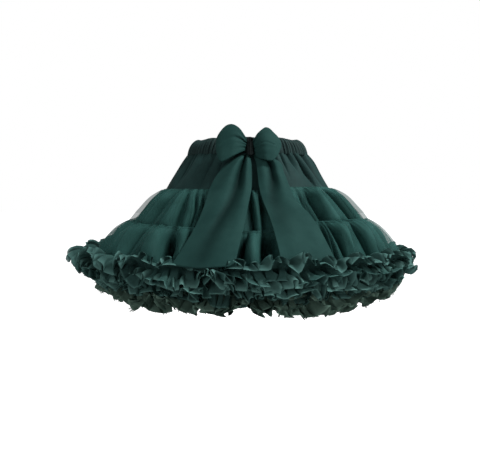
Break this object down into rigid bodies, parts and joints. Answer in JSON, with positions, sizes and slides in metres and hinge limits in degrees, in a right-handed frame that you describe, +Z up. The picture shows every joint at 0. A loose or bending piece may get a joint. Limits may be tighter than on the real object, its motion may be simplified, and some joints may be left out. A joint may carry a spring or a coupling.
{
  "type": "pettiskirt",
  "caption": "Child's tiered pettiskirt with a ruched waistband, gathered sheer tiers over an under layer, full hem frills and a sash bow at the front, held in its worn shape.",
  "frame": {"origin": "centre of the waist opening, half way up the waistband, where the wearer holds the skirt up", "axes": "+Z up out of the waist, -Y to the front where the bow is, +X to the wearer's left"},
  "size_m": [0.607, 0.585, 0.2727],
  "materials": {
    "waistband": "dark green satin, ruched",
    "yoke": "dark green smooth cloth with a soft sheen",
    "outer_tiers": "sheer dark green chiffon",
    "under_tiers": "close gathered dark green chiffon",
    "frills": "dark green chiffon with paler raw edges",
    "sash": "green satin with a soft sheen"
  },
  "bodies": {
    "root": {"waistband_front": "waistband", "waistband_back": "waistband", "yoke_front": "yoke", "yoke_back": "yoke", "upper_tier_front": "outer_tiers", "upper_tier_back": "outer_tiers", "lower_tier_front": "outer_tiers", "lower_tier_back": "outer_tiers", "under_tier_upper_front": "under_tiers", "under_tier_upper_back": "under_tiers", "under_tier_lower_front": "under_tiers", "under_tier_lower_back": "under_tiers", "frill_outer": "frills", "frill_middle": "frills", "frill_inner": "frills", "bow_knot": "sash", "bow_loop_left": "sash", "bow_loop_right": "sash", "sash_tail_left": "sash", "sash_tail_right": "sash"}
  },
  "joints": []
}
